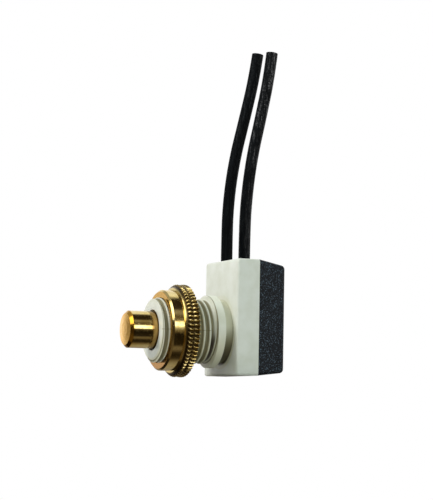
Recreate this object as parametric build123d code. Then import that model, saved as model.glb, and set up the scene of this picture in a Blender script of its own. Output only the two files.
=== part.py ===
from build123d import *
import math
import os

# Push-button canopy switch, in millimetres.
# The origin is on the bushing's axis, at the front edge of the shoulder that a lamp's sheet metal seats on.
# +Y runs back along the bushing into the housing, +X is to the side, +Z is up, towards the leads.

# Housing block
block_width = 14.8
block_height = 19.9
axis_above_base = 7.48
front_depth = 4.0
cover_depth = 5.25
side_wall = 1.3
front_wall = 1.4
cover_floor = 1.3
corner_round = 0.5
front_edge_round = 0.4
cover_back_round = 0.9
cover_side_taper = 0.85
cover_top_taper = 0.95
cover_base_taper = 0.62

# Bushing, a 7/16 inch thread cut on the cream moulding
thread_radius = 5.556
thread_length = 9.0
end_chamfer = 0.3
shoulder_cone = 0.7
shoulder_land = 1.45
shoulder_radius = 6.25
neck_length = 1.55
neck_radius = 5.45
button_hole_clearance = 0.32
plunger_bore_radius = 4.05
bore_step_from_end = 3.6
keyway_width = 1.1
keyway_depth = 0.4

# Knurled nut
nut_bore_clearance = 0.05
nut_from_shoulder = 3.19
nut_collar_radius = 6.9
nut_collar_length = 2.16
nut_collar_chamfer = 0.32
flange_radius = 7.95
flange_thickness = 2.4
flange_face_radius = 7.2
flange_front_chamfer = 0.7
tooth_count = 64
tooth_depth = 0.42
blank_margin = 0.1
groove_depth = 0.45
groove_half_width = 0.2
groove_from_rear = 1.17

# Button and plunger
travel = 2.5
cap_radius = 3.18
cap_wall = 0.23
cap_reach = 4.86
cap_bevel = 0.47
cap_dome = 0.16
dome_steps = 2
cap_skirt_gap = 0.5
cap_seat_clearance = 0.03
plunger_flange_thickness = 1.0
plunger_clearance = 0.05
plunger_stem_radius = 2.75
plunger_hollow_radius = 1.3
plunger_hollow_depth = 5.3
key_clearance = 0.1

# Ratchet, the same teeth on plunger and rotor
ratchet_teeth = 8
ratchet_height = 1.2
ratchet_inner_radius = 1.4
ratchet_blank_margin = 0.2
ratchet_land = 5.0
ratchet_side_gap = 3.0
ratchet_end_gap = 0.1

# Rotor and its post
rotor_radius = 4.6
rotor_hub_radius = 3.8
rotor_front = 3.7
rotor_disc_gap = 0.3
rotor_back = 8.0
rotor_recess_radius = 2.85
post_radius = 1.0
post_clearance = 0.05
post_shoulder_radius = 1.8
post_tip_gap = 0.4

# Return spring and washers
spring_radius = 3.35
spring_wire = 0.4
spring_turns = 7
spring_sides = 6
spring_steps = 14
spring_end_gap = 0.02
washer_thickness = 0.2
washer_radial_gap = 0.1
seat_gap = 0.05

# Contacts
contact_arms = 4
arm_width = 1.8
arm_reach = 4.3
plate_hub_radius = 2.4
plate_hole_radius = 1.3
plate_thickness = 0.3
plate_clearance = 0.03
blade_width = 2.0
blade_thickness = 0.4
blade_gap = 0.5
blade_drop = 1.2
blade_top = 6.8
rivet_head_radius = 0.7
rivet_point_radius = 0.4
rivet_shank_radius = 0.35
rivet_tail_radius = 0.6
rivet_tail_thickness = 0.15
rivet_clearance = 0.01
barrel_radius = 0.95
barrel_length = 2.4
barrel_overlap = 0.5
neck_strip_width = 1.2

# Leads
lead_spacing = 7.84
lead_radius = 1.02
lead_behind_front = 2.55
lead_stripped_end = 7.9
conductor_radius = 0.6
conductor_clearance = 0.02
notch_clearance = 0.06

# Cover screws
screw_spacing = 8.6
screw_below_axis = 4.7
boss_radius = 1.4
screw_radius = 0.75
screw_hole_clearance = 0.15
screw_head_radius = 1.3
screw_head_height = 0.7
screw_head_clearance = 0.1
screw_length = 6.6
screw_recess = 0.12
cross_width = 0.4
cross_length = 1.5
cross_depth = 0.4

# Locating lips and lead tongues of the cover
lip_height = 0.6
lip_thickness = 0.6
lip_clearance = 0.1
lip_root = 0.3
lip_length = 11.0
lip_from_axis = 3.6
tongue_clearance = 0.08

# Places worked out from the sizes above
block_front = shoulder_cone + shoulder_land + neck_length
split = block_front + front_depth
rear = split + cover_depth
base = -axis_above_base
top = base + block_height
cavity_front = block_front + front_wall
cavity_back = rear - cover_floor
bushing_end = -thread_length
bore_step = bushing_end + bore_step_from_end
nut_rear = -nut_from_shoulder
flange_front = nut_rear - flange_thickness
nut_front = flange_front - nut_collar_length
nut_bore_radius = thread_radius + nut_bore_clearance
cap_rim = bushing_end - cap_reach
button_hole_radius = cap_radius + button_hole_clearance
flange_back = bore_step + plunger_flange_thickness
plunger_flange_radius = plunger_bore_radius - plunger_clearance
tooth_step = 360 / ratchet_teeth
recess_floor = rotor_front + ratchet_height
drive_tip = recess_floor - ratchet_end_gap - travel
drive_root = drive_tip - ratchet_height
post_shoulder = rotor_back + 2 * seat_gap + washer_thickness
blade_front = rotor_back + blade_gap
blade_back = blade_front + blade_thickness
lead_y = block_front + lead_behind_front
lead_x = lead_spacing / 2
notch_radius = lead_radius + notch_clearance
head_seat = rear - screw_recess - screw_head_height

# Each lead's route, (x, y, z), from its stripped end inside the housing to its cut end
left_route = [
    (-3.92, 6.25, 7.90),
    (-3.92, 6.20, 15.00),
    (-3.88, 6.28, 22.60),
    (-3.80, 7.28, 30.50),
    (-3.72, 9.18, 38.40),
    (-3.76, 10.82, 45.40),
    (-3.85, 11.53, 49.95),
]
right_route = [
    (3.92, 6.25, 7.90),
    (3.92, 6.20, 14.60),
    (3.96, 6.34, 22.00),
    (4.05, 7.26, 30.00),
    (4.12, 8.94, 37.80),
    (4.08, 10.28, 44.40),
    (3.98, 10.86, 48.85),
]


def turned(points):
    """A solid of revolution about the bushing's axis, from (radius, y) points."""
    outline = Polyline(*points, close=True)
    return revolve(make_face(outline), Axis.Y)


def rod(radius, start, end, x=0.0, z=0.0):
    """A round bar along Y from start to end."""
    return extrude(Plane((x, start, z), x_dir=(1, 0, 0), z_dir=(0, 1, 0)) * Circle(radius), end - start)


def upright(radius, low, high, x, y):
    """A round bar along Z."""
    return extrude(Plane.XY.offset(low) * Pos(x, y) * Circle(radius), high - low)


def slab(x, y, z):
    """A box from three (low, high) pairs."""
    sizes = [high - low for low, high in (x, y, z)]
    centre = [(low + high) / 2 for low, high in (x, y, z)]
    return Pos(*centre) * Box(*sizes)


def screw_places():
    return [(side * screw_spacing / 2, -screw_below_axis) for side in (-1, 1)]


def front_housing():
    block = slab((-block_width / 2, block_width / 2), (block_front, split), (base, top))
    block = fillet(block.edges().filter_by(Axis.Y), corner_round)
    block = fillet(block.faces().sort_by(Axis.Y)[0].edges(), front_edge_round)
    half = block_width / 2 - side_wall
    cavity = slab((-half, half), (cavity_front, split), (base + side_wall, top - side_wall))
    bushing = turned([
        (0, bushing_end),
        (thread_radius - end_chamfer, bushing_end),
        (thread_radius, bushing_end + end_chamfer),
        (thread_radius, 0),
        (shoulder_radius, shoulder_cone),
        (shoulder_radius, shoulder_cone + shoulder_land),
        (neck_radius, shoulder_cone + shoulder_land),
        (neck_radius, cavity_front),
        (0, cavity_front),
    ])
    bore = turned([
        (0, bushing_end),
        (button_hole_radius, bushing_end),
        (button_hole_radius, bore_step),
        (plunger_bore_radius, bore_step),
        (plunger_bore_radius, cavity_front),
        (0, cavity_front),
    ])
    key_reach = plunger_bore_radius + keyway_depth
    keyway = slab((-key_reach, key_reach), (bore_step, cavity_front), (-keyway_width / 2, keyway_width / 2))
    body = block - cavity
    for x, z in screw_places():
        body += rod(boss_radius, cavity_front, split, x, z)
    body += bushing
    body -= bore
    body -= keyway
    for x, z in screw_places():
        body -= rod(screw_radius, head_seat - screw_length, split, x, z)
    for side in (-1, 1):
        x = side * lead_x
        body -= upright(notch_radius, top - 2 * side_wall, top, x, lead_y)
        body -= slab((x - notch_radius, x + notch_radius), (lead_y, split), (top - 2 * side_wall, top))
    return body


def cover_wedge(inset, end):
    """The cover's tapered block from the split to end, with its sides drawn in by inset."""
    share = (end - split) / cover_depth
    width = block_width - 2 * inset
    height = block_height - 2 * inset
    side = share * cover_side_taper
    low = share * cover_base_taper
    high = height - share * cover_top_taper
    corner = Pos(inset - block_width / 2, split, base + inset)
    return corner * Wedge(width, end - split, height, side, low, width - side, high, align=Align.MIN)


def rear_cover():
    shell = cover_wedge(0, rear)
    shell = fillet(shell.faces().sort_by(Axis.Y)[-1].edges(), cover_back_round)
    corners = shell.edges() - shell.edges().filter_by(Plane.XZ) - shell.edges().filter_by(Plane.XY)
    shell = fillet(corners, corner_round)
    shell -= cover_wedge(side_wall, cavity_back)
    shell += rod(post_shoulder_radius, post_shoulder, cavity_back)
    shell += rod(post_radius, recess_floor - post_tip_gap, post_shoulder)
    for x, z in screw_places():
        shell += rod(boss_radius, split, cavity_back, x, z)
    for x, z in screw_places():
        shell -= rod(screw_radius + screw_hole_clearance, split, rear, x, z)
        shell -= rod(screw_head_radius + screw_head_clearance, head_seat, rear, x, z)
    wall = block_width / 2 - side_wall
    lip_outer = wall - lip_clearance
    lip_inner = lip_outer - lip_thickness
    lip_back = blade_front - lip_clearance
    lip_z = (lip_from_axis - lip_length / 2, lip_from_axis + lip_length / 2)
    for side in (-1, 1):
        lip_x = sorted((side * lip_inner, side * lip_outer))
        root_x = sorted((side * lip_inner, side * (wall + lip_root)))
        shell += slab(lip_x, (split - lip_height, lip_back), lip_z)
        shell += slab(root_x, (split, lip_back), lip_z)
        x = side * lead_x
        seat = blade_width / 2
        shell += slab((x - seat, x + seat), (blade_back, cavity_back), (blade_top - blade_width, blade_top))
        half = notch_radius - tongue_clearance
        tongue_y = (lead_y + lead_radius + tongue_clearance, split + side_wall)
        tongue_z = (top - side_wall, top - corner_round)
        shell += slab((x - half, x + half), tongue_y, tongue_z)
    return shell


def knurled_nut():
    root = flange_radius - tooth_depth
    half_step = 180 / tooth_count
    outline = []
    for tooth in range(tooth_count):
        outline.append((flange_radius, 2 * tooth * half_step))
        outline.append((root, (2 * tooth + 1) * half_step))
    points = [(r * math.cos(math.radians(a)), r * math.sin(math.radians(a))) for r, a in outline]
    face = Plane((0, flange_front, 0), x_dir=(1, 0, 0), z_dir=(0, 1, 0)) * Polygon(*points, align=None)
    teeth = extrude(face, flange_thickness)
    blank = flange_radius + blank_margin
    slope = flange_front_chamfer / (flange_radius - flange_face_radius)
    chamfered = turned([
        (0, flange_front),
        (flange_face_radius, flange_front),
        (blank, flange_front + slope * (blank - flange_face_radius)),
        (blank, nut_rear),
        (0, nut_rear),
    ])
    groove = nut_rear - groove_from_rear
    between_rows = turned([
        (flange_radius - groove_depth, groove - groove_half_width),
        (blank, groove - groove_half_width),
        (blank, groove + groove_half_width),
        (flange_radius - groove_depth, groove + groove_half_width),
    ])
    collar = turned([
        (0, nut_front),
        (nut_collar_radius - nut_collar_chamfer, nut_front),
        (nut_collar_radius, nut_front + nut_collar_chamfer),
        (nut_collar_radius, flange_front + flange_thickness / 2),
        (0, flange_front + flange_thickness / 2),
    ])
    return (teeth & chamfered) - between_rows + collar - rod(nut_bore_radius, nut_front, nut_rear)


def button_cap():
    bevel_radius = cap_radius - cap_bevel
    skirt = bore_step - cap_skirt_gap
    dome = []
    for step in range(dome_steps):
        share = step / dome_steps
        dome.append((bevel_radius * share, cap_rim - cap_dome * (1 - share ** 2)))
    outer = turned(dome + [
        (bevel_radius, cap_rim),
        (cap_radius, cap_rim + cap_bevel),
        (cap_radius, skirt),
        (0, skirt),
    ])
    inner = cap_radius - cap_wall
    return outer - turned([
        (0, cap_rim + cap_wall),
        (bevel_radius, cap_rim + cap_wall),
        (inner, cap_rim + cap_wall + cap_bevel),
        (inner, skirt),
        (0, skirt),
    ])


def ratchet_tooth(corners, outer_radius):
    """One tooth from (angle, y) corners, its sides running straight out from the axis."""
    sections = []
    for radius in (ratchet_inner_radius - ratchet_blank_margin, outer_radius + ratchet_blank_margin):
        points = [(radius, y, radius * math.tan(math.radians(angle))) for angle, y in corners]
        sections.append(make_face(Polyline(*points, close=True)))
    wedge = loft(sections, ruled=True)
    low = min(y for angle, y in corners)
    high = max(y for angle, y in corners)
    return wedge & (rod(outer_radius, low, high) - rod(ratchet_inner_radius, low, high))


def ratchet_ring(corners, outer_radius):
    tooth = ratchet_tooth(corners, outer_radius)
    return [Rot(0, step * tooth_step, 0) * tooth for step in range(ratchet_teeth)]


def ramp_angle():
    """The turn that goes with a tooth's height: one tooth step for the whole travel."""
    return tooth_step * ratchet_height / travel


def plunger():
    head = cap_radius - cap_wall - cap_seat_clearance
    head_front = cap_rim + cap_wall + cap_bevel + seat_gap
    body = turned([
        (0, head_front),
        (head, head_front),
        (head, bore_step),
        (plunger_flange_radius, bore_step),
        (plunger_flange_radius, flange_back),
        (plunger_stem_radius, flange_back),
        (plunger_stem_radius, drive_root),
        (0, drive_root),
    ])
    key_reach = plunger_bore_radius + keyway_depth - key_clearance
    key_half = keyway_width / 2 - key_clearance
    body += slab((-key_reach, key_reach), (bore_step, flange_back), (-key_half, key_half))
    body -= rod(plunger_hollow_radius, drive_tip - plunger_hollow_depth, drive_root)
    rise = ratchet_height - ratchet_end_gap
    near = ratchet_land + ramp_angle() * rise / ratchet_height + ratchet_side_gap
    far = tooth_step - ratchet_side_gap
    middle = (near + far) / 2
    corners = [
        (far - middle, drive_root),
        (far - middle, drive_tip),
        (near - middle, drive_tip),
        (near - ramp_angle() - middle, drive_root),
    ]
    for tooth in ratchet_ring(corners, plunger_stem_radius):
        body += Rot(0, -middle, 0) * tooth
    return body


def ratchet_rotor():
    disc_front = cavity_front + rotor_disc_gap
    body = turned([
        (rotor_recess_radius, rotor_front),
        (rotor_hub_radius, rotor_front),
        (rotor_hub_radius, disc_front),
        (rotor_radius, disc_front),
        (rotor_radius, rotor_back),
        (post_radius + post_clearance, rotor_back),
        (post_radius + post_clearance, recess_floor),
        (rotor_recess_radius, recess_floor),
    ])
    middle = (ratchet_land + ramp_angle()) / 2
    corners = [
        (-middle, recess_floor),
        (-middle, rotor_front),
        (ratchet_land - middle, rotor_front),
        (ratchet_land + ramp_angle() - middle, recess_floor),
    ]
    for tooth in ratchet_ring(corners, rotor_recess_radius):
        body += Rot(0, -middle, 0) * tooth
    return body - contact_cross(plate_clearance, 0)


def contact_cross(clearance, hole_radius):
    """The moving contact's outline: arms halfway between the fixed contacts at rest."""
    depth = plate_thickness
    front = rotor_back - depth
    body = rod(plate_hub_radius + clearance, front, rotor_back)
    half = arm_width / 2 + clearance
    reach = arm_reach + clearance
    turn = 360 / contact_arms
    for arm in range(contact_arms):
        body += Rot(0, turn / 2 + arm * turn, 0) * slab((0, reach), (front, rotor_back), (-half, half))
    if hole_radius:
        body -= rod(hole_radius, front, rotor_back)
    return body


def contact_plate():
    return contact_cross(0, plate_hole_radius)


def washer(inner, outer, start):
    return rod(outer, start, start + washer_thickness) - rod(inner, start, start + washer_thickness)


def spring_washer():
    outer = rotor_hub_radius
    return washer(rotor_recess_radius + washer_radial_gap, outer, rotor_front - seat_gap - washer_thickness)


def rotor_washer():
    return washer(post_radius + post_clearance, post_shoulder_radius, rotor_back + seat_gap)


def return_spring():
    low = flange_back + spring_wire / 2 + spring_end_gap
    high = rotor_front - seat_gap - washer_thickness - spring_wire / 2 - spring_end_gap
    length = high - low
    rise = math.degrees(math.atan2(length, 2 * math.pi * spring_radius * spring_turns))
    wire = RegularPolygon(spring_wire / 2, spring_sides)
    count = spring_turns * spring_steps
    sections = []
    for step in range(count + 1):
        turn = Rot(0, -360 * step / spring_steps, 0)
        along = Pos(spring_radius, low + length * step / count, 0)
        sections.append(turn * along * Rot(rise, 0, 0) * wire)
    return loft(sections, ruled=True)


def fixed_contact(side):
    x = side * lead_x
    half = blade_width / 2
    strip = neck_strip_width / 2
    barrel_top = lead_stripped_end - barrel_overlap
    barrel_low = barrel_top - barrel_length
    body = slab((x - half, x + half), (blade_front, blade_back), (-blade_drop, blade_top))
    body += slab((x - strip, x + strip), (lead_y + conductor_radius, blade_back), (barrel_low, blade_top))
    body += upright(barrel_radius, barrel_low, barrel_top, x, lead_y)
    body -= upright(conductor_radius + conductor_clearance, barrel_low, barrel_top, x, lead_y)
    return body - rod(rivet_shank_radius + rivet_clearance, blade_front, blade_back, x)


def contact_rivet(side):
    point = blade_front - blade_gap + seat_gap
    profile = turned([
        (0, point),
        (rivet_point_radius, point),
        (rivet_head_radius, blade_front),
        (rivet_shank_radius, blade_front),
        (rivet_shank_radius, blade_back),
        (rivet_tail_radius, blade_back),
        (rivet_tail_radius, blade_back + rivet_tail_thickness),
        (0, blade_back + rivet_tail_thickness),
    ])
    return Pos(side * lead_x, 0, 0) * profile


def conductor(side):
    low = lead_stripped_end - barrel_overlap - barrel_length
    return upright(conductor_radius, low, lead_stripped_end, side * lead_x, lead_y)


def cover_screw(x, z):
    body = rod(screw_head_radius, head_seat, head_seat + screw_head_height)
    body += rod(screw_radius, head_seat - screw_length, head_seat)
    slot_floor = head_seat + screw_head_height - cross_depth
    for turn in (0, 90):
        half = cross_width / 2
        reach = cross_length / 2
        bar = slab((-reach, reach), (slot_floor, rear), (-half, half))
        body -= Rot(0, turn, 0) * bar
    return Pos(x, 0, z) * body


def corner_radii(route):
    """0.45 of the shorter run at each corner, divided by the tangent of half the turn."""
    points = [Vector(*p) for p in route]
    radii = []
    for before, corner, after in zip(points, points[1:], points[2:]):
        shorter = min((corner - before).length, (after - corner).length)
        half_turn = math.radians((corner - before).get_angle(after - corner) / 2)
        radii.append(0.45 * shorter / math.tan(half_turn))
    return radii


def lead(name, route):
    radii = corner_radii(route)
    path = FilletPolyline(*route, radius=radii)
    section = Plane(path @ 0, z_dir=path % 0) * Circle(lead_radius)
    body = sweep(section, path)
    expected = math.pi * lead_radius ** 2 * path.length
    print(name, "radii", [round(r) for r in radii])
    print(name, "length", round(path.length, 2))
    print(name, "volume", round(body.volume, 2), "expected", round(expected, 2))
    return body


nodes = {
    "front_housing": front_housing(),
    "rear_cover": rear_cover(),
    "knurled_nut": knurled_nut(),
    "button_cap": button_cap(),
    "plunger": plunger(),
    "return_spring": return_spring(),
    "spring_washer": spring_washer(),
    "ratchet_rotor": ratchet_rotor(),
    "contact_plate": contact_plate(),
    "rotor_washer": rotor_washer(),
    "contact_left": fixed_contact(-1),
    "contact_right": fixed_contact(1),
    "contact_rivets": Compound(children=[contact_rivet(side) for side in (-1, 1)]),
    "conductor_left": conductor(-1),
    "conductor_right": conductor(1),
    "lead_left": lead("lead_left", left_route),
    "lead_right": lead("lead_right", right_route),
    "cover_screws": Compound(children=[cover_screw(x, z) for x, z in screw_places()]),
}

os.makedirs("parts", exist_ok=True)
for name, shape in nodes.items():
    export_step(shape, f"parts/{name}.step")
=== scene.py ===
# %% [markdown]
# # A push-button canopy switch
# The switch is a small block, cream in front and black behind, with a threaded cream bushing, a knurled
# brass nut, a brass push button and two black leads. The construction is loaded as a fixed frame, and this
# lesson gives each piece its finish, cuts the thread and lays the leads.

# %% Load the frame
import math

import bmesh
import bpy
from mathutils import Matrix, Vector


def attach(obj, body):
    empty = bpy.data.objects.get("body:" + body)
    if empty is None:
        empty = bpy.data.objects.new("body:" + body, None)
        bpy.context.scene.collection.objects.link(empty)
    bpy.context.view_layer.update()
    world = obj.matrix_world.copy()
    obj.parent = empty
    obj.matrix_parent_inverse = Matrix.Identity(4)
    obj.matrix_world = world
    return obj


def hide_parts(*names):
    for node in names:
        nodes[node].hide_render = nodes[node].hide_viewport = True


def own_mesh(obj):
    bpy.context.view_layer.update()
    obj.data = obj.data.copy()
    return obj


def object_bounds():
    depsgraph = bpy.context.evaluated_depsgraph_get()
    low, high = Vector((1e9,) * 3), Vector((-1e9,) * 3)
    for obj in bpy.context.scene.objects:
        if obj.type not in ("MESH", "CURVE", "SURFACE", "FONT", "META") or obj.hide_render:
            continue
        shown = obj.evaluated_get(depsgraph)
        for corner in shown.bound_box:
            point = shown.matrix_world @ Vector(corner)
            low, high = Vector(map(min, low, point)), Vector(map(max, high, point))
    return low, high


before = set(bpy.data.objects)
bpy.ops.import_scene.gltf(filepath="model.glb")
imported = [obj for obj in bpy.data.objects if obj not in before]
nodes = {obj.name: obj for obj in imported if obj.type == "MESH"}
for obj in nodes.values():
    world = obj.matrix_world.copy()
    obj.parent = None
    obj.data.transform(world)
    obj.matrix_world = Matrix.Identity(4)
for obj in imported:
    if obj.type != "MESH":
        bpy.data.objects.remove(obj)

MM = 0.001
cad_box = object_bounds()

# %% [markdown]
# ## Where the photograph was taken from
# A product photograph has a long lens, so the block's edges stay almost parallel. The camera stands a
# little below the bushing and looks across it from the front. A camera is a matrix: its columns are the
# picture's right, the picture's up, the way back to the camera, and its place.

# %% Camera
AZIMUTH = math.radians(67.705)
ELEVATION = math.radians(-4.879)
ROLL = math.radians(1.006)
FOCAL_PIXELS = 1974.5
PHOTO_HEIGHT = 500
SENSOR = 36.0
DISTANCE = 341.92 * MM
AIM = Vector((0, 3.7, 2.474)) * MM
SHIFT_RIGHT = -0.7595 * MM
SHIFT_UP = 11.791 * MM

back = Vector((math.sin(AZIMUTH) * math.cos(ELEVATION), -math.cos(AZIMUTH) * math.cos(ELEVATION),
               math.sin(ELEVATION)))
level = Vector((math.cos(AZIMUTH), math.sin(AZIMUTH), 0))
upright = back.cross(level)
right = level * math.cos(ROLL) + upright * math.sin(ROLL)
up = upright * math.cos(ROLL) - level * math.sin(ROLL)

camera = bpy.data.objects.new("camera", bpy.data.cameras.new("camera"))
camera.data.sensor_width = SENSOR
camera.data.lens = FOCAL_PIXELS * SENSOR / PHOTO_HEIGHT
camera.data.clip_start = 0.01
camera.data.clip_end = 20
place = AIM + back * DISTANCE + right * SHIFT_RIGHT + up * SHIFT_UP
turn = Matrix((right, up, back)).transposed().to_4x4()
camera.matrix_world = Matrix.Translation(place) @ turn
bpy.context.scene.collection.objects.link(camera)
bpy.context.scene.camera = camera
print("lens", round(camera.data.lens, 1), "mm, camera at", [round(v / MM) for v in place], "mm")

# %% [markdown]
# ## Shader maths in plain Python
# A finish is worked out from positions on the piece. Wiring every Math node by hand hides the idea, so a
# socket is wrapped in a small class: adding or multiplying two wrapped sockets adds the Math node. One
# method makes any other node.

# %% Shader helpers
class Value:
    """A number that changes over a surface, held by a node's output socket."""

    def __init__(self, finish, socket):
        self.finish = finish
        self.socket = socket

    def maths(self, operation, first, second=0.0):
        return self.finish.node("ShaderNodeMath", {"operation": operation}, {0: first, 1: second})

    def __add__(self, other):
        return self.maths("ADD", self, other)

    def __sub__(self, other):
        return self.maths("SUBTRACT", self, other)

    def __rsub__(self, other):
        return self.maths("SUBTRACT", other, self)

    def __mul__(self, other):
        return self.maths("MULTIPLY", self, other)

    def __pow__(self, other):
        return self.maths("POWER", self, other)

    def absolute(self):
        return self.maths("ABSOLUTE", self)

    def between(self, low, high):
        """0 below low, 1 above high, and smooth in between; low may be the larger one."""
        settings = {"interpolation_type": "SMOOTHSTEP"}
        sockets = {"Value": self, "From Min": low, "From Max": high}
        return self.finish.node("ShaderNodeMapRange", settings, sockets)

    __radd__ = __add__
    __rmul__ = __mul__


class Finish:
    """A node material around one Principled shader."""

    def __init__(self, name, **constants):
        self.material = bpy.data.materials.new(name)
        self.material.use_nodes = True
        self.tree = self.material.node_tree
        self.shader = self.tree.nodes["Principled BSDF"]
        for socket, value in constants.items():
            self.shader.inputs[socket.replace("_", " ")].default_value = value

    def node(self, kind, settings=None, inputs=None, output=0):
        made = self.tree.nodes.new(kind)
        for name, value in (settings or {}).items():
            setattr(made, name, value)
        for name, value in (inputs or {}).items():
            self.feed(made.inputs[name], value)
        return Value(self, made.outputs[output])

    def feed(self, socket, value):
        if isinstance(value, Value):
            self.tree.links.new(value.socket, socket)
        else:
            socket.default_value = value

    def place(self):
        """The point on the piece in millimetres."""
        point = self.node("ShaderNodeTexCoord", output="Object")
        return self.node("ShaderNodeVectorMath", {"operation": "SCALE"}, {0: point, "Scale": 1 / MM})

    def axes(self):
        parts = self.tree.nodes.new("ShaderNodeSeparateXYZ")
        self.feed(parts.inputs[0], self.place())
        return [Value(self, output) for output in parts.outputs]

    def stretched(self, x, y, z):
        return self.node("ShaderNodeVectorMath", {"operation": "MULTIPLY"}, {0: self.place(), 1: (x, y, z)})

    def noise(self, scale, detail=2.0, roughness=0.5, vector=None):
        where = vector or self.place()
        sockets = {"Vector": where, "Scale": scale, "Detail": detail, "Roughness": roughness}
        return self.node("ShaderNodeTexNoise", None, sockets)

    def mix(self, factor, first, second):
        settings = {"data_type": "RGBA"}
        return self.node("ShaderNodeMix", settings, {0: factor, 6: first, 7: second}, output=2)

    def bump(self, height):
        """A surface raised by a height in millimetres."""
        return self.node("ShaderNodeBump", None, {"Height": height, "Distance": MM, "Strength": 1.0})

    def use(self, **sockets):
        for name, value in sockets.items():
            self.feed(self.shader.inputs[name.replace("_", " ")], value)
        return self.material


def tone(red, green, blue):
    """A colour as a picture shows it, 0 to 255, turned into the linear values that shaders use."""
    linear = [((c / 255 + 0.055) / 1.055) ** 2.4 if c > 10 else c / 255 / 12.92 for c in (red, green, blue)]
    return (*linear, 1.0)


def dress(name, material):
    """Put a finish on a piece of the frame."""
    mesh = nodes[name].data
    mesh.materials.clear()
    mesh.materials.append(material)


# %% [markdown]
# ## Meshes from rings
# The thread, the knurl, the spring and the strands are all made the same way: rings of points are placed one
# after the other, and four-sided faces join each ring to the next. Three small functions do what they share.

# %% Mesh helpers
def join_rings(mesh, rings):
    count = len(rings[0])
    for ring, after in zip(rings, rings[1:]):
        for k in range(count):
            mesh.faces.new((ring[k], ring[(k + 1) % count], after[(k + 1) % count], after[k]))


def mesh_data(name, mesh):
    data = bpy.data.meshes.new(name)
    mesh.to_mesh(data)
    mesh.free()
    return data


def new_piece(name, data):
    piece = bpy.data.objects.new(name, data)
    bpy.context.scene.collection.objects.link(piece)
    return piece


# %% [markdown]
# ## Cream moulding
# The front of the switch is a thermoset moulding: off-white, slightly green in the shade, with a satin
# skin. Dust and painted shade darken the thread's grooves; painted shade darkens the neck, the bushing and
# the last groove, most of all lower down. The two halves of the mould leave a fine line along the side of
# the thread. The grooves are found by their distance from the bushing's axis.

# %% Cream finish
THREAD_RADIUS = 5.556
THREAD_LENGTH = 9.0
SHOULDER_EDGE = 0.72
SHOULDER_BACK = 2.15
NECK_RADIUS = 5.45
CREAM = tone(226, 230, 219)
CREAM_DEEP = tone(215, 219, 204)
CREAM_SHADED = tone(214, 212, 184)
NECK_SHADE = tone(160, 156, 112)
DUST_AND_SHADE = tone(110, 101, 58)
DEEP_SHADE = tone(48, 34, 18)


def cream_finish():
    skin = Finish("cream_moulding", Specular_IOR_Level=0.45)
    x, y, z = skin.axes()
    from_axis = (x * x + z * z) ** 0.5
    outside = from_axis.between(4.7, 4.9)
    low = z.between(1.5, -4.0)
    on_thread = y.between(0.45, 0.2) * y.between(0.02 - THREAD_LENGTH, 0.1 - THREAD_LENGTH)
    groove = from_axis.between(THREAD_RADIUS - 0.02, THREAD_RADIUS - 0.24) * on_thread * outside
    last_groove = y.between(-0.30, -0.12) * y.between(0.62, 0.48) * from_axis.between(6.2, 6.0) * outside
    below = z.between(0.8, -2.0)
    neck = y.between(SHOULDER_BACK - 0.02, SHOULDER_BACK + 0.02) * outside
    neck = neck * from_axis.between(NECK_RADIUS + 0.40, NECK_RADIUS + 0.05)
    parting = z.absolute().between(0.10, 0.03) * y.between(-0.2, -0.4) * outside
    edge_line = (y - SHOULDER_EDGE).absolute().between(0.10, 0.03) * from_axis.between(6.5, 6.3) * outside
    mottle = skin.noise(0.35, 3.0)
    speck = skin.noise(5.0, 3.0, 0.6).between(0.68, 0.78)
    colour = skin.mix(mottle.between(0.3, 0.7), CREAM, CREAM_DEEP)
    # painted shade: a darker, yellower cream on the bushing, heavier lower down
    colour = skin.mix(outside * from_axis.between(6.5, 6.3) * (low * 0.6 + 0.25), colour, CREAM_SHADED)
    # painted shade of the shoulder on the neck, darker lower down
    colour = skin.mix(neck * (low * 0.5 + 0.4), colour, NECK_SHADE)
    # dust and painted shade in the thread's grooves; the same tone marks the mould lines and specks
    colour = skin.mix(groove * 0.85, colour, DUST_AND_SHADE)
    colour = skin.mix(parting * 0.5 + edge_line * 0.8 + speck * 0.12, colour, DUST_AND_SHADE)
    # painted shadow, near black, in the lower half of the last groove and low on the neck
    colour = skin.mix(last_groove * below * 0.9 + neck * low * 0.8, colour, DEEP_SHADE)
    grain = skin.noise(9.0, 4.0, 0.6)
    roughness = grain * 0.14 + 0.28 + groove * 0.25
    height = grain * 0.004 + parting * 0.03 - edge_line * 0.08
    return skin.use(Base_Color=colour, Roughness=roughness, Normal=skin.bump(height))


cream = cream_finish()
print("finish", cream.name)

# %% [markdown]
# ## The thread
# The frame's bushing is a plain cylinder at the crest of the thread. A real thread is one groove wound
# round it, so the groove is made as a solid coil with a rounded V section and taken away from a copy of
# the moulding. The coil runs out of the end face in front and fades before the shoulder.

# %% Thread groove
PITCH = 25.4 / 24
STEPS_PER_TURN = 96
GROOVE_SECTION = [(-0.80, 1.10), (-0.48, 0.03), (-0.43, -0.02), (-0.36, -0.12), (-0.14, -0.51), (0.0, -0.56),
                  (0.14, -0.51), (0.36, -0.12), (0.43, -0.02), (0.48, 0.03), (0.80, 1.10)]
NEAR_SIDE = 0.25
GROOVE_ON_NEAR_SIDE = 0.14
GROOVES_IN_FRONT = 10
TURNS_BEHIND = 0.5
FADE_TURNS = 0.3
SHALLOWEST = 0.1
WELD_DISTANCE = 1e-7
MOULDING_EDGE = math.radians(28)


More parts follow.
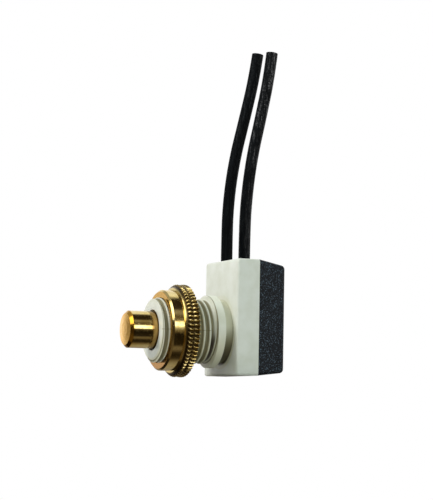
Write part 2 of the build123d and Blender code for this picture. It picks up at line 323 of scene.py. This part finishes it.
def groove_coil():
    steps = round((GROOVES_IN_FRONT + NEAR_SIDE + TURNS_BEHIND) * STEPS_PER_TURN)
    mesh = bmesh.new()
    rings = []
    for step in range(steps + 1):
        turns = step / STEPS_PER_TURN
        angle = math.tau * turns
        centre = GROOVE_ON_NEAR_SIDE + PITCH * (turns - NEAR_SIDE - GROOVES_IN_FRONT)
        left = (steps - step) / STEPS_PER_TURN
        depth = min(1.0, max(SHALLOWEST, left / FADE_TURNS))
        ring = []
        for along, out in GROOVE_SECTION:
            radius = THREAD_RADIUS + (out * depth if out < 0 else out)
            point = Vector((radius * math.sin(angle), centre + along, radius * math.cos(angle)))
            ring.append(mesh.verts.new(point * MM))
        rings.append(ring)
    join_rings(mesh, rings)
    mesh.faces.new(reversed(rings[0]))
    mesh.faces.new(rings[-1])
    bmesh.ops.recalc_face_normals(mesh, faces=mesh.faces)
    return mesh_data("groove_coil", mesh)


def threaded_moulding():
    source = nodes["front_housing"].data
    data = bpy.data.meshes.new("front_housing_threaded")
    data.from_pydata([v.co for v in source.vertices], [], [f.vertices for f in source.polygons])
    mesh = bmesh.new()
    mesh.from_mesh(data)
    bmesh.ops.remove_doubles(mesh, verts=mesh.verts, dist=WELD_DISTANCE)
    mesh.to_mesh(data)
    mesh.free()
    piece = new_piece("front_housing_threaded", data)
    coil = new_piece("groove_coil", groove_coil())
    cut = piece.modifiers.new("thread", "BOOLEAN")
    cut.operation = "DIFFERENCE"
    cut.solver = "EXACT"
    cut.object = coil
    graph = bpy.context.evaluated_depsgraph_get()
    result = bpy.data.meshes.new_from_object(piece.evaluated_get(graph))
    piece.modifiers.clear()
    piece.data = result
    bpy.data.objects.remove(coil)
    result.materials.clear()
    result.materials.append(cream)
    result.shade_smooth()
    result.set_sharp_from_angle(angle=MOULDING_EDGE)
    return piece


moulding = threaded_moulding()
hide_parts("front_housing")
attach(moulding, "housing")
print("threaded moulding", len(moulding.data.polygons), "faces")

# %% [markdown]
# ## Black cover
# The cover is moulded in a black phenolic with a fine orange-peel skin: small pale specks on a blue-black
# ground. The specks are a fine noise cut at a level, and the same noise raises the surface a little.

# %% Black finish
BLACK = tone(2, 6, 13)
BLACK_SPECK = tone(100, 120, 134)


def black_finish():
    skin = Finish("black_moulding", Specular_IOR_Level=0.3)
    fine = skin.noise(5.0, 2.0, 0.6)
    coarse = skin.noise(1.2, 2.0)
    specks = fine.between(0.55, 0.65)
    colour = skin.mix(specks * (coarse * 0.8 + 0.3), BLACK, BLACK_SPECK)
    roughness = 0.42 + fine * 0.22
    height = fine * 0.05 + coarse * 0.01
    return skin.use(Base_Color=colour, Roughness=roughness, Normal=skin.bump(height))


black = black_finish()
dress("rear_cover", black)
print("finish", black.name)

# %% [markdown]
# ## Brass
# The nut and the button are turned brass under clear lacquer. A lathe leaves rings round the axis, so the
# fine bump depends only on the place along the axis and the distance from it. The knurl's hollows hold a
# brown tarnish, painted near black as shade, the end faces are a warmer gold than the sides, the collar's
# face is painted darker lower down as shade, and the button's root is painted darker as shade in the
# bushing.

# %% Brass finish
BRASS = (0.84, 0.68, 0.29, 1.0)
BRASS_DEEP = (0.72, 0.53, 0.17, 1.0)
BRASS_WARM = (0.64, 0.31, 0.0, 1.0)
FACE_SHADE = (0.40, 0.16, 0.0, 1.0)
ROOT_SHADE = (0.30, 0.14, 0.03, 1.0)
TARNISH_AND_SHADE = (0.045, 0.024, 0.006, 1.0)
KNURL_TIP = 7.95
COLLAR_FACE = -7.75
BUTTON_END = -13.45
BUSHING_END = -9.0


def brass_finish():
    metal = Finish("lacquered_brass", Metallic=1.0)
    x, y, z = metal.axes()
    from_axis = (x * x + z * z) ** 0.5
    on_knurl = y.between(-5.75, -5.45) * y.between(-3.15, -3.18) * from_axis.between(7.2, 7.45)
    hollow = from_axis.between(KNURL_TIP - 0.13, KNURL_TIP - 0.34) * on_knurl
    cloud = metal.noise(0.5, 3.0)
    rings_at = metal.node("ShaderNodeCombineXYZ", None, {0: from_axis, 1: y, 2: 0.0})
    rings = metal.noise(9.0, 2.0, 0.6, rings_at)
    scratch = metal.noise(1.0, 4.0, 0.7, metal.stretched(6.0, 0.8, 6.0))
    colour = metal.mix(cloud.between(0.35, 0.7), BRASS, BRASS_DEEP)
    button_face = y.between(BUTTON_END + 0.35, BUTTON_END)
    collar_face = (y - COLLAR_FACE).between(0.06, 0.02) * from_axis.between(5.0, 5.2)
    low = z.between(1.0, -5.0)
    button_root = y.between(BUSHING_END - 1.25, BUSHING_END - 0.95) * from_axis.between(4.2, 4.0)
    colour = metal.mix((button_face + collar_face) * 0.85, colour, BRASS_WARM)
    # painted shade: the collar's face darker lower down
    colour = metal.mix(collar_face * low * 0.8, colour, FACE_SHADE)
    # painted shade on the button's root inside the bushing's hole
    colour = metal.mix(button_root * 0.75, colour, ROOT_SHADE)
    # tarnish and painted shade, near black, in the knurl's hollows
    colour = metal.mix(hollow * 0.95, colour, TARNISH_AND_SHADE)
    roughness = 0.06 + rings * 0.06 + scratch * 0.06 + hollow * 0.2
    pits = metal.noise(8.0, 2.0, 0.6).between(0.60, 0.74)
    height = rings * 0.006 + scratch * 0.004 - pits * 0.005
    return metal.use(Base_Color=colour, Roughness=roughness, Normal=metal.bump(height))


brass = brass_finish()
for name in ("knurled_nut", "button_cap"):
    dress(name, brass)
print("finish", brass.name)

# %% [markdown]
# ## The knurl
# A knurling wheel presses rounded teeth into the nut's edge, and a shallow groove turned round the edge
# parts them into two rows. The frame's nut has plain pointed teeth, so the nut is made again here as a
# turned form: an outline goes round the axis in small steps, and a wave in the radius makes the teeth. The
# lower of the wave and the outline counts, so the front chamfer cuts the teeth into chevrons by itself.

# %% Knurled nut
NUT_BORE = 5.606
NUT_REAR = -3.19
COLLAR_RADIUS = 6.9
COLLAR_CHAMFER = 0.32
FLANGE_FRONT = -5.59
FLANGE_FACE = 7.2
CHAMFER_END = -4.84
REAR_BEVEL = 0.10
ROW_GROOVE = -4.28
ROW_GROOVE_HALF = 0.42
ROW_GROOVE_RADIUS = 7.60
TOOTH_COUNT = 64
TOOTH_ROOT = 7.50
TIP_SHARPNESS = 1.3
STEPS_PER_TOOTH = 12
KNURL_STATIONS = 30
NUT_EDGE = math.radians(38)


def part_way(start, end, share):
    return start + (end - start) * min(1.0, max(0.0, share))


def edge_radius(y):
    """The knurled edge's outline: chamfer, two rows with a groove between them, small bevel behind."""
    chamfer = part_way(FLANGE_FACE, KNURL_TIP, (y - FLANGE_FRONT) / (CHAMFER_END - FLANGE_FRONT))
    groove = part_way(ROW_GROOVE_RADIUS, KNURL_TIP, abs(y - ROW_GROOVE) / ROW_GROOVE_HALF)
    bevel = part_way(KNURL_TIP - REAR_BEVEL, KNURL_TIP, (NUT_REAR - y) / REAR_BEVEL)
    return min(chamfer, groove, bevel)


def nut_outline():
    outline = [(COLLAR_FACE, NUT_BORE), (COLLAR_FACE, COLLAR_RADIUS - COLLAR_CHAMFER),
               (COLLAR_FACE + COLLAR_CHAMFER, COLLAR_RADIUS), (FLANGE_FRONT, COLLAR_RADIUS)]
    for station in range(KNURL_STATIONS + 1):
        y = part_way(FLANGE_FRONT, NUT_REAR, station / KNURL_STATIONS)
        outline.append((y, edge_radius(y)))
    outline.append((NUT_REAR, NUT_BORE))
    return outline


def knurled_nut():
    mesh = bmesh.new()
    count = TOOTH_COUNT * STEPS_PER_TOOTH
    rings = []
    for y, radius in nut_outline():
        ring = []
        for step in range(count):
            angle = math.tau * step / count
            wave = (0.5 + 0.5 * math.cos(TOOTH_COUNT * angle)) ** TIP_SHARPNESS
            r = min(radius, TOOTH_ROOT + (KNURL_TIP - TOOTH_ROOT) * wave)
            ring.append(mesh.verts.new(Vector((r * math.cos(angle), y, r * math.sin(angle))) * MM))
        rings.append(ring)
    join_rings(mesh, rings + rings[:1])
    bmesh.ops.recalc_face_normals(mesh, faces=mesh.faces)
    data = mesh_data("nut_with_knurl", mesh)
    data.shade_smooth()
    data.set_sharp_from_angle(angle=NUT_EDGE)
    data.materials.append(brass)
    return new_piece("nut_with_knurl", data)


nut = knurled_nut()
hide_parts("knurled_nut")
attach(nut, "nut")
print("nut", len(nut.data.polygons), "faces,", TOOTH_COUNT, "teeth")

# %% [markdown]
# ## Leads
# Each lead is a stranded conductor in black insulation, cut square at its far end. It is a curve with a
# round bevel: a smooth NURBS spline, drawn along given control points, follows the gentle bend,
# which straight runs with arcs would only imitate.

# %% Lead routes
LEAD_DIAMETER = 2.04 * MM
left_route = [
    (-3.92, 6.25, 7.90),
    (-3.92, 6.20, 15.00),
    (-3.88, 6.28, 22.60),
    (-3.80, 7.28, 30.50),
    (-3.72, 9.18, 38.40),
    (-3.76, 10.82, 45.40),
    (-3.85, 11.53, 49.95),
]
right_route = [
    (3.92, 6.25, 7.90),
    (3.92, 6.20, 14.60),
    (3.96, 6.34, 22.00),
    (4.05, 7.26, 30.00),
    (4.12, 8.94, 37.80),
    (4.08, 10.28, 44.40),
    (3.98, 10.86, 48.85),
]

# %% Insulation and copper finishes
INSULATION = tone(3, 5, 7)
INSULATION_GREY = tone(13, 18, 21)
COPPER = (0.78, 0.36, 0.19, 1.0)
COPPER_DULL = (0.45, 0.18, 0.09, 1.0)


def insulation_finish(name, gloss, shine):
    skin = Finish(name, Specular_IOR_Level=0.08, Coat_Roughness=0.12)
    streak = skin.noise(1.0, 3.0, 0.6, skin.stretched(3.2, 3.2, 0.35))
    grain = skin.noise(12.0, 2.0)
    colour = skin.mix(streak.between(0.4, 0.75), INSULATION, INSULATION_GREY)
    roughness = gloss + streak * 0.25 + grain * 0.06
    height = streak * 0.02 + grain * 0.003
    glint = skin.noise(4.0, 2.0)
    polished = streak.between(0.44, 0.58) * glint.between(0.42, 0.58) * shine
    return skin.use(Base_Color=colour, Roughness=roughness, Coat_Weight=polished,
                    Normal=skin.bump(height))


def copper_finish():
    metal = Finish("copper_strands", Metallic=1.0)
    wear = metal.noise(6.0, 3.0)
    colour = metal.mix(wear.between(0.35, 0.7), COPPER, COPPER_DULL)
    return metal.use(Base_Color=colour, Roughness=0.25 + wear * 0.2, Normal=metal.bump(wear * 0.01))


copper = copper_finish()
for side in ("left", "right"):
    dress(f"conductor_{side}", copper)
matt_insulation = insulation_finish("black_insulation_matt", 0.42, 0.15)
glossy_insulation = insulation_finish("black_insulation_glossy", 0.30, 0.8)

# %% [markdown]
# ## Cut ends
# The far end of each lead shows the conductor in section: one strand, six round it and twelve round those.
# Each strand is a short rod that stands just proud of the cut and is narrower at its tip.

# %% Strands
STRAND_RADIUS = 0.105
STRAND_RINGS = [(0, 1), (0.215, 6), (0.43, 12)]
STRAND_PROUD = 0.03
STRAND_SUNK = 0.4
STRAND_SIDES = 12
STRAND_TIP = 0.7


def strand_bundle(name, route):
    """The strands at a lead's cut end, each narrower at its tip."""
    end = Vector(route[-1])
    along = (end - Vector(route[-2])).normalized()
    turn = along.to_track_quat("Z", "Y").to_matrix()
    mesh = bmesh.new()
    for ring_radius, count in STRAND_RINGS:
        for k in range(count):
            angle = math.tau * k / count
            centre = Vector((ring_radius * math.cos(angle), ring_radius * math.sin(angle), 0))
            levels = []
            for height, size in ((-STRAND_SUNK, 1.0), (0.0, 1.0), (STRAND_PROUD, STRAND_TIP)):
                level_ring = []
                for side in range(STRAND_SIDES):
                    around = math.tau * side / STRAND_SIDES
                    offset = Vector((math.cos(around), math.sin(around), 0)) * STRAND_RADIUS * size
                    point = end + turn @ (centre + offset + Vector((0, 0, height)))
                    level_ring.append(mesh.verts.new(point * MM))
                levels.append(level_ring)
            join_rings(mesh, levels)
            mesh.faces.new(list(reversed(levels[0])))
            mesh.faces.new(levels[-1])
    data = mesh_data(name, mesh)
    data.materials.append(copper)
    piece = new_piece(name, data)
    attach(piece, "housing")
    return piece


# %% [markdown]
# ## Laying the leads
# The left lead is matt and the right one has a skin that shines in broken streaks. Both leave the top edge
# of the block, so each is drawn as a round curve from the stripped end inside to the cut end.


def lead(name, route, material):
    curve = bpy.data.curves.new(name, "CURVE")
    curve.dimensions = "3D"
    curve.bevel_depth = LEAD_DIAMETER / 2
    curve.bevel_resolution = 8
    curve.resolution_u = 16
    curve.use_fill_caps = True
    spline = curve.splines.new("NURBS")
    spline.points.add(len(route) - 1)
    for control, point in zip(spline.points, route):
        control.co = (*(Vector(point) * MM), 1)
    spline.order_u = 3
    spline.use_endpoint_u = True
    curve.materials.append(material)
    piece = new_piece(f"{name}_insulation", curve)
    strands = strand_bundle(f"{name}_strands", route)
    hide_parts(name)
    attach(piece, "housing")


lead("lead_left", left_route, matt_insulation)
lead("lead_right", right_route, glossy_insulation)

# %% [markdown]
# ## Pieces inside and behind
# The closed block hides the mechanism, but the screws show from behind and every piece keeps a finish of
# its own: moulded nylon and phenolic, spring wire, stamped brass, silver contact points, zinc plate.

# %% Inner finishes
def moulded(name, light, dark, roughness):
    skin = Finish(name, Specular_IOR_Level=0.5)
    cloud = skin.noise(0.8, 3.0)
    grain = skin.noise(10.0, 3.0)
    colour = skin.mix(cloud.between(0.3, 0.7), light, dark)
    rough = roughness + grain * 0.12
    return skin.use(Base_Color=colour, Roughness=rough, Normal=skin.bump(grain * 0.006))


def sheet_metal(name, light, dark, roughness):
    metal = Finish(name, Metallic=1.0)
    cloud = metal.noise(1.5, 3.0)
    rolling = metal.noise(1.0, 3.0, 0.6, metal.stretched(1.0, 14.0, 1.0))
    colour = metal.mix(cloud.between(0.3, 0.75), light, dark)
    rough = roughness + rolling * 0.15
    return metal.use(Base_Color=colour, Roughness=rough, Normal=metal.bump(rolling * 0.006))


dress("plunger", moulded("white_nylon", tone(226, 224, 214), tone(208, 205, 192), 0.42))
dress("ratchet_rotor", moulded("brown_phenolic", tone(96, 56, 34), tone(70, 38, 24), 0.45))
stamped_brass = sheet_metal("stamped_brass", (0.82, 0.62, 0.28, 1), (0.62, 0.42, 0.16, 1), 0.24)
spring_wire = sheet_metal("spring_wire", (0.62, 0.61, 0.59, 1), (0.40, 0.39, 0.38, 1), 0.20)
silver = sheet_metal("silver_points", (0.88, 0.87, 0.84, 1), (0.66, 0.64, 0.60, 1), 0.18)
zinc = sheet_metal("zinc_plate", (0.70, 0.70, 0.66, 1), (0.46, 0.46, 0.42, 1), 0.26)
metal_pieces = (("contact_plate", stamped_brass), ("contact_left", stamped_brass),
                ("contact_right", stamped_brass), ("contact_rivets", silver), ("return_spring", spring_wire),
                ("spring_washer", zinc), ("rotor_washer", zinc), ("cover_screws", zinc))
for name, material in metal_pieces:
    dress(name, material)
print("metal pieces inside and behind:", len(metal_pieces))

# %% [markdown]
# ## The return spring
# The spring stands between the plunger's flange and the rotor, and it shortens as the button is pressed.
# A rigid piece can't do that, so the spring is made again with round wire and given a mesh of its own.
# Its end turns lie closer, as ground ends do.

# %% Spring
SPRING_RADIUS = 3.35
WIRE_RADIUS = 0.2
SPRING_FRONT = -4.18
SPRING_BACK = 3.23
SPRING_TURNS = 7
SPRING_STEPS = 32
WIRE_SIDES = 10
END_TURN_EASE = 0.35


def round_wire_spring():
    mesh = bmesh.new()
    rings = []
    count = SPRING_TURNS * SPRING_STEPS
    for step in range(count + 1):
        share = step / count
        eased = share + END_TURN_EASE * math.sin(math.tau * share) / -math.tau
        y = SPRING_FRONT + (SPRING_BACK - SPRING_FRONT) * eased
        angle = math.tau * step / SPRING_STEPS
        out = Vector((math.cos(angle), 0, math.sin(angle)))
        ring = []
        for side in range(WIRE_SIDES):
            around = math.tau * side / WIRE_SIDES
            point = out * (SPRING_RADIUS + WIRE_RADIUS * math.cos(around))
            point.y = y + WIRE_RADIUS * math.sin(around)
            ring.append(mesh.verts.new(point * MM))
        rings.append(ring)
    join_rings(mesh, rings)
    mesh.faces.new(rings[0])
    mesh.faces.new(rings[-1])
    bmesh.ops.recalc_face_normals(mesh, faces=mesh.faces)
    data = mesh_data("round_wire_spring", mesh)
    data.shade_smooth()
    data.materials.append(spring_wire)
    return new_piece("round_wire_spring", data)


spring = round_wire_spring()
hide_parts("return_spring")
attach(spring, "housing")
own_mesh(spring)

# %% [markdown]
# ## Floor
# The switch stands on a pale floor. The camera looks up at it from slightly below, so the floor is
# see-through from underneath: its shader gives way to a transparent one on its back side. It is also
# see-through to mirror rays, because the brass reflects the bands of the next cell instead.

# %% Floor
FLOOR_REACH = 3.0
FLOOR_GAP = 0.00002
low_corner = Vector(cad_box[0])
floor_data = bpy.data.meshes.new("floor")
corners = [(-FLOOR_REACH, -FLOOR_REACH), (FLOOR_REACH, -FLOOR_REACH), (FLOOR_REACH, FLOOR_REACH),
           (-FLOOR_REACH, FLOOR_REACH)]
floor_data.from_pydata([(x, y, low_corner.z - FLOOR_GAP) for x, y in corners], [], [(0, 1, 2, 3)])
floor = new_piece("floor", floor_data)

paper = Finish("pale_paper")
fibre = paper.noise(0.4, 4.0)
paper.use(Base_Color=paper.mix(fibre, tone(244, 244, 242), tone(238, 238, 236)), Roughness=0.9)
underside = paper.node("ShaderNodeNewGeometry", output="Backfacing")
mirrored = paper.node("ShaderNodeLightPath", output="Is Glossy Ray")
unseen = paper.node("ShaderNodeMath", {"operation": "MAXIMUM"}, {0: underside, 1: mirrored})
clear = paper.node("ShaderNodeBsdfTransparent")
surface = Value(paper, paper.shader.outputs[0])
blend = paper.node("ShaderNodeMixShader", None, {0: unseen, 1: surface, 2: clear})
paper.tree.links.new(blend.socket, paper.tree.nodes["Material Output"].inputs["Surface"])
floor_data.materials.append(paper.material)
print("floor", 2 * FLOOR_REACH, "m wide")

# %% [markdown]
# ## What the brass reflects
# Turned brass is a mirror that is curved one way: going round the collar, it shows the studio in bands.
# The bands in the photograph suggest a bright lamp low on one side, a dark ceiling with a white sheet past
# it, and a dark table. The world holds such bands as angles round the bushing's axis, and another set for
# faces that look forward. They were set by comparing renders with the photograph. Only reflections see
# them: matt surfaces get an even fill, and the camera sees plain white.

# %% World
FILL_STRENGTH = 0.24
BANDS = [(-180, 0.25), (-121, 0.35), (-100, 0.16), (-88, 0.03), (-76, 0.015), (-66, 0.03), (-57, 0.14),
         (-49, 0.14), (-44, 0.02), (-10, 0.010), (-5, 0.10), (3, 0.30), (8, 0.60), (12, 2.80), (21, 2.80),
         (26, 0.14), (42, 0.12), (46, 0.28), (56, 0.28), (62, 0.05), (68, 0.02), (98, 0.03), (106, 0.40),
         (114, 1.10), (130, 0.90), (150, 1.10), (180, 1.0)]
FRONT_BANDS = [(-90, 0.10), (-25, 0.10), (-12, 0.02), (19, 0.02), (26, 2.80), (50, 2.80), (56, 0.20),
               (90, 0.30)]
ACROSS_BANDS = [(-180, 1.90), (-80, 1.80), (-72, 1.10), (-62, 0.45), (-50, 0.15), (-25, 0.03), (40, 0.02),
                (75, 0.20), (180, 0.30)]
SOFTBOX_LEFT = -24
SOFTBOX_EDGE = 10
LEFT_OF_SOFTBOX = 0.15
LOW_PART_EDGE = (0.32, 0.20)
FRONT_EDGE = (0.0, -0.25)
BAND_TOP = 2.8
WARM_SHADE = (1.15, 0.82, 0.48)
PALE_FROM = 0.4
world = bpy.data.worlds.new("studio")
bpy.context.scene.world = world
world.use_nodes = True
tree = world.node_tree
tree.nodes.clear()


def world_node(kind, settings=None, inputs=None, output=0):
    made = tree.nodes.new(kind)
    for name, value in (settings or {}).items():
        setattr(made, name, value)
    for name, value in (inputs or {}).items():
        if isinstance(value, bpy.types.NodeSocket):
            tree.links.new(value, made.inputs[name])
        else:
            made.inputs[name].default_value = value
    return made.outputs[output]


def band_colour(level):
    """The dark parts of the room are brownish and the lamps are white."""
    pale = min(1.0, level / PALE_FROM)
    return (*[level / BAND_TOP * (pale + (1 - pale) * warm) for warm in WARM_SHADE], 1)


def scaled(colour, factor):
    return world_node("ShaderNodeVectorMath", {"operation": "SCALE"}, {0: colour, "Scale": factor})


def bands(angle, stops, span):
    """The studio's colour from an angle in radians, by (degrees, brightness) stops."""
    share = world_node("ShaderNodeMapRange", None,
                       {"Value": angle, "From Min": -math.radians(span), "From Max": math.radians(span)})
    made = tree.nodes.new("ShaderNodeValToRGB")
    ramp = made.color_ramp
    while len(ramp.elements) < len(stops):
        ramp.elements.new(0.5)
    for k, (degrees, level) in enumerate(stops):
        ramp.elements[k].position = (degrees + span) / (2 * span)
    for k, (degrees, level) in enumerate(stops):
        ramp.elements[k].color = band_colour(level)
    tree.links.new(share, made.inputs[0])
    return scaled(made.outputs[0], BAND_TOP)


def soft_step(value, low, high, lowest=0.0):
    return world_node("ShaderNodeMapRange", {"interpolation_type": "SMOOTHSTEP"},
                      {"Value": value, "From Min": low, "From Max": high, "To Min": lowest})


def blend_colours(factor, first, second):
    return world_node("ShaderNodeMix", {"data_type": "RGBA"}, {0: factor, 6: first, 7: second}, output=2)


looking = world_node("ShaderNodeTexCoord", output=0)
axes = tree.nodes.new("ShaderNodeSeparateXYZ")
tree.links.new(looking, axes.inputs[0])
x, y, z = axes.outputs
round_axis = world_node("ShaderNodeMath", {"operation": "ARCTAN2"}, {0: z, 1: x})
rise = world_node("ShaderNodeMath", {"operation": "ARCSINE"}, {0: z})
forward = world_node("ShaderNodeMath", {"operation": "MULTIPLY"}, {0: y, 1: -1.0})
across = world_node("ShaderNodeMath", {"operation": "ARCTAN2"}, {0: x, 1: forward})
beside_lamp = soft_step(across, math.radians(SOFTBOX_LEFT), math.radians(SOFTBOX_LEFT + SOFTBOX_EDGE),
                        LEFT_OF_SOFTBOX)
overhead = scaled(bands(rise, FRONT_BANDS, 90), beside_lamp)
near_level = soft_step(world_node("ShaderNodeMath", {"operation": "ABSOLUTE"}, {0: z}), *LOW_PART_EDGE)
low_part = scaled(bands(across, ACROSS_BANDS, 180), near_level)
front = world_node("ShaderNodeVectorMath", {"operation": "ADD"}, {0: overhead, 1: low_part})
studio = blend_colours(soft_step(y, *FRONT_EDGE), bands(round_axis, BANDS, 180), front)
path = tree.nodes.new("ShaderNodeLightPath").outputs
fill = (FILL_STRENGTH, FILL_STRENGTH, FILL_STRENGTH, 1)
shiny = blend_colours(path["Is Glossy Ray"], fill, studio)
seen = blend_colours(path["Is Camera Ray"], shiny, (1, 1, 1, 1))
sky = world_node("ShaderNodeBackground", None, {"Color": seen, "Strength": 1.0})
world_end = tree.nodes.new("ShaderNodeOutputWorld")
tree.links.new(sky, world_end.inputs["Surface"])
print("studio bands", len(BANDS), "round the axis and", len(FRONT_BANDS), "in front")

# %% [markdown]
# ## Lamps
# Two rectangular lamps shape the cream block: a key lamp above on the left and a cooler, weaker one above
# on the right. They are hidden from mirror rays, which see the world's bands alone.

# %% Lamps
def softbox(name, azimuth, elevation, distance, width, height, power, colour):
    """A rectangular lamp that faces the bushing, placed by azimuth and elevation in degrees."""
    around, rise = math.radians(azimuth), math.radians(elevation)
    out = Vector((math.sin(around) * math.cos(rise), -math.cos(around) * math.cos(rise), math.sin(rise)))
    data = bpy.data.lights.new(name, "AREA")
    data.shape = "RECTANGLE"
    data.size = width
    data.size_y = height
    data.energy = power
    data.color = colour
    made = bpy.data.objects.new(name, data)
    made.visible_glossy = False
    made.location = AIM + out * distance
    made.rotation_euler = out.to_track_quat("Z", "Y").to_euler()
    bpy.context.scene.collection.objects.link(made)


softbox("key", -18, 48, 0.50, 0.22, 0.22, 2.15, (1.0, 0.99, 1.0))
softbox("side_lamp", 100, 50, 0.50, 0.30, 0.20, 0.74, (0.84, 1.0, 0.98))

# %% [markdown]
# ## Colours as they are
# The Standard view shows colours as the materials give them.

# %% View
bpy.context.scene.view_settings.view_transform = "Standard"
